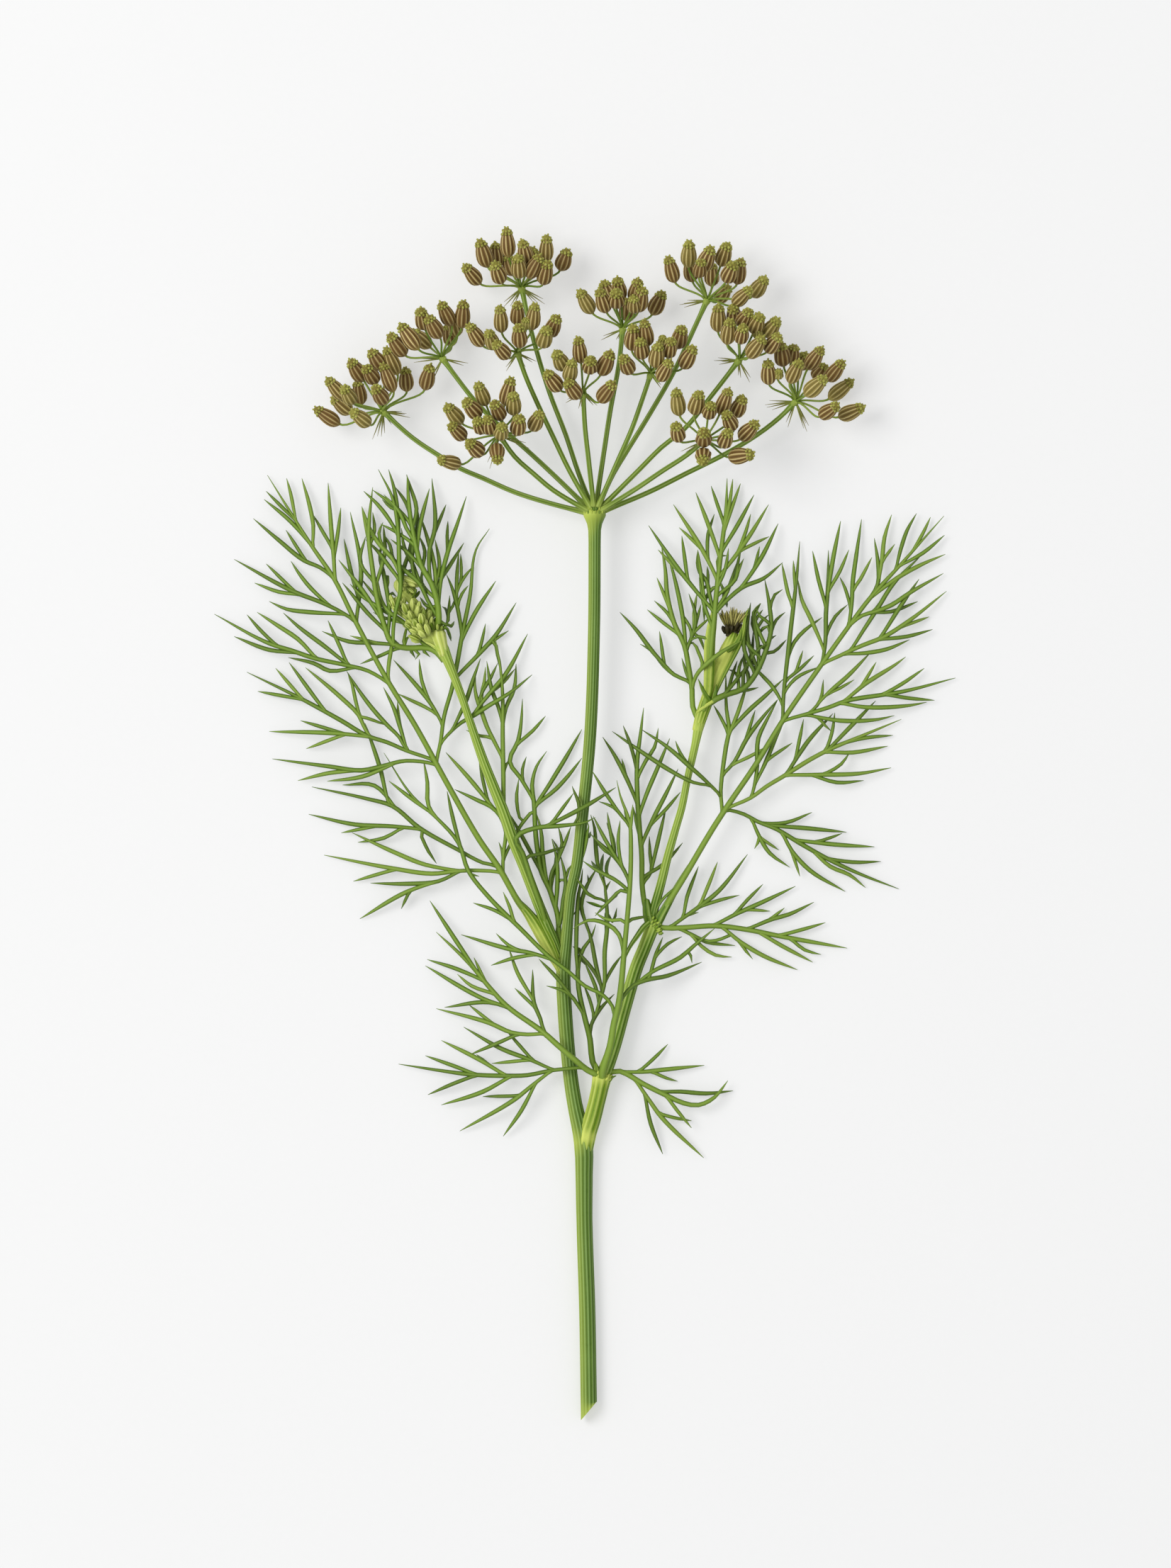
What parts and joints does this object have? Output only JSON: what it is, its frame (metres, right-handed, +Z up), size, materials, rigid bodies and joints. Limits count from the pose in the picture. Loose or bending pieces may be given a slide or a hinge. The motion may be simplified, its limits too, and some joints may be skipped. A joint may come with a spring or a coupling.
{
  "type": "cut dill sprig",
  "caption": "Cut dill sprig lying flat: a slender ridged stem with side branches, thread-like divided leaves, small buds and an open umbel of ribbed seeds, for dressing food or a market stall.",
  "frame": {"origin": "on the surface the sprig lies on, under the middle of its bounding box", "axes": "+Z up from the surface, +Y along the stem from the cut end towards the umbel, +X to the right seen from above with the umbel away from the viewer"},
  "size_m": [0.1163, 0.1865, 0.0174],
  "materials": {
    "stem_green": "satin",
    "sheath_green": "satin",
    "leaf_green": "satin",
    "bud_green": "matte",
    "bud_brown": "matte",
    "seed_brown": "matte"
  },
  "bodies": {
    "root": {"center_leaf": "leaf_green", "cross_leaf": "leaf_green", "left_branch": "stem_green", "left_bud": "bud_green", "left_center_leaf": "leaf_green", "left_frond": "leaf_green", "left_frond_tall": "leaf_green", "left_leaf": "leaf_green", "left_sheath": "sheath_green", "lower_left_leaf": "leaf_green", "lower_right_leaf": "leaf_green", "lower_sheath": "sheath_green", "main_stem": "stem_green", "middle_leaf": "leaf_green", "ray_01": "stem_green", "ray_02": "stem_green", "ray_03": "stem_green", "ray_04": "stem_green", "ray_05": "stem_green", "ray_06": "stem_green", "ray_07": "stem_green", "ray_08": "stem_green", "ray_09": "stem_green", "ray_10": "stem_green", "ray_11": "stem_green", "ray_12": "stem_green", "right_branch": "stem_green", "right_bud": "bud_brown", "right_bud_frond": "leaf_green", "right_center_leaf": "leaf_green", "right_frond": "leaf_green", "right_frond_tall": "leaf_green", "right_leaf": "leaf_green", "right_low_leaf": "leaf_green", "umbellet_01": "seed_brown", "umbellet_02": "seed_brown", "umbellet_03": "seed_brown", "umbellet_04": "seed_brown", "umbellet_05": "seed_brown", "umbellet_06": "seed_brown", "umbellet_07": "seed_brown", "umbellet_08": "seed_brown", "umbellet_09": "seed_brown", "umbellet_10": "seed_brown", "umbellet_11": "seed_brown", "umbellet_12": "seed_brown", "upper_branch": "stem_green", "upper_sheath": "sheath_green"}
  },
  "joints": []
}
